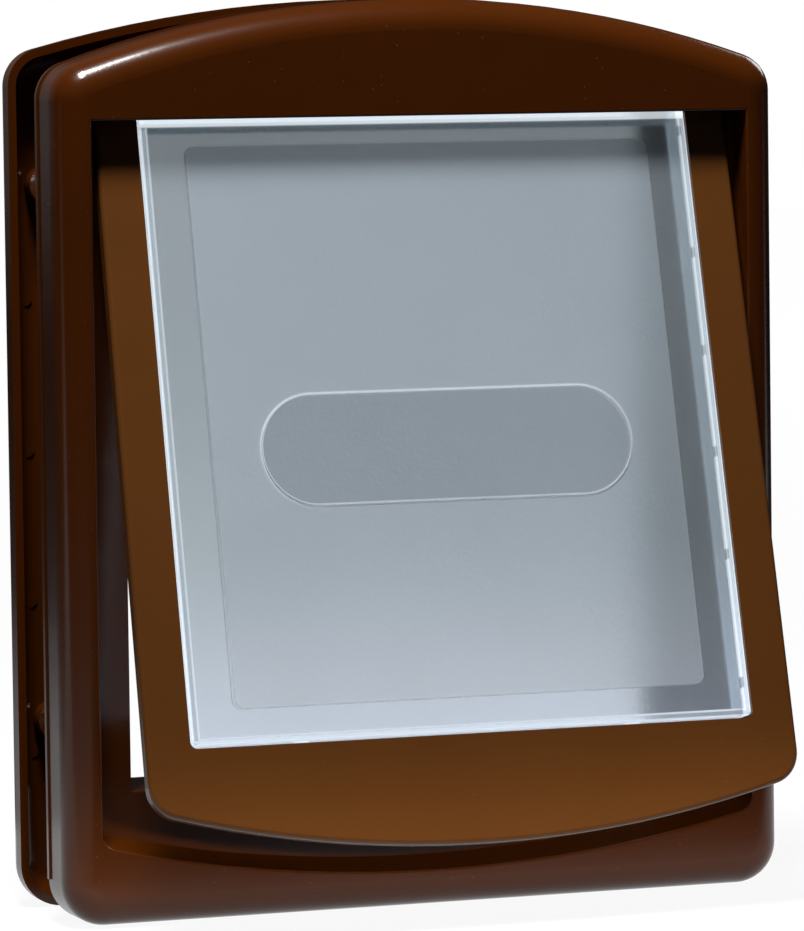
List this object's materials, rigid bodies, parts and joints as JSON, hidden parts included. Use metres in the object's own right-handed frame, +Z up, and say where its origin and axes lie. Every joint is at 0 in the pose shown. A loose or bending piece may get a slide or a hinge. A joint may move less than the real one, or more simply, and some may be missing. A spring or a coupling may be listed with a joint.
{
  "type": "cat flap",
  "caption": "Two-way cat flap for a house door: arched brown frames, an outward surround and a clear inward panel on one hinge.",
  "frame": {"origin": "middle of the outer frame's bottom edge, on the plane where that frame beds on the door leaf", "axes": "+X across the door to the right seen from the street, +Y through the door into the house, +Z up"},
  "size_m": [0.198, 0.0954, 0.2355],
  "materials": {
    "brown_plastic": "gloss moulded",
    "clear_plastic": "frosted clear",
    "steel": "zinc plated",
    "magnet": "pressed ferrite",
    "brass": "turned"
  },
  "bodies": {
    "frame": {"outer_frame": "brown_plastic", "inner_frame": "brown_plastic", "frame_magnet": "magnet", "fixing_bolt_low_left": "steel", "fixing_bolt_low_right": "steel", "fixing_bolt_top_left": "steel", "fixing_bolt_top_right": "steel", "threaded_sleeve_low_left": "brass", "threaded_sleeve_low_right": "brass", "threaded_sleeve_top_left": "brass", "threaded_sleeve_top_right": "brass", "bolt_cap_low_left": "brown_plastic", "bolt_cap_low_right": "brown_plastic", "bolt_cap_top_left": "brown_plastic", "bolt_cap_top_right": "brown_plastic"},
    "surround": {"flap_surround": "brown_plastic", "flap_magnet": "magnet"},
    "panel": {"flap_panel": "clear_plastic", "hinge_pin_left": "steel", "hinge_pin_right": "steel", "hinge_spring": "steel"}
  },
  "joints": [
    {"name": "surround_hinge", "type": "hinge", "parent": "frame", "child": "surround", "pos_m": [0, -0.0083, 0.2084], "axis": [1, 0, 0], "range_deg": [-35, 14.4]},
    {"name": "panel_hinge", "type": "hinge", "parent": "surround", "child": "panel", "pos_m": [0, -0.0083, 0.2084], "axis": [1, 0, 0], "range_deg": [0, 70]}
  ]
}
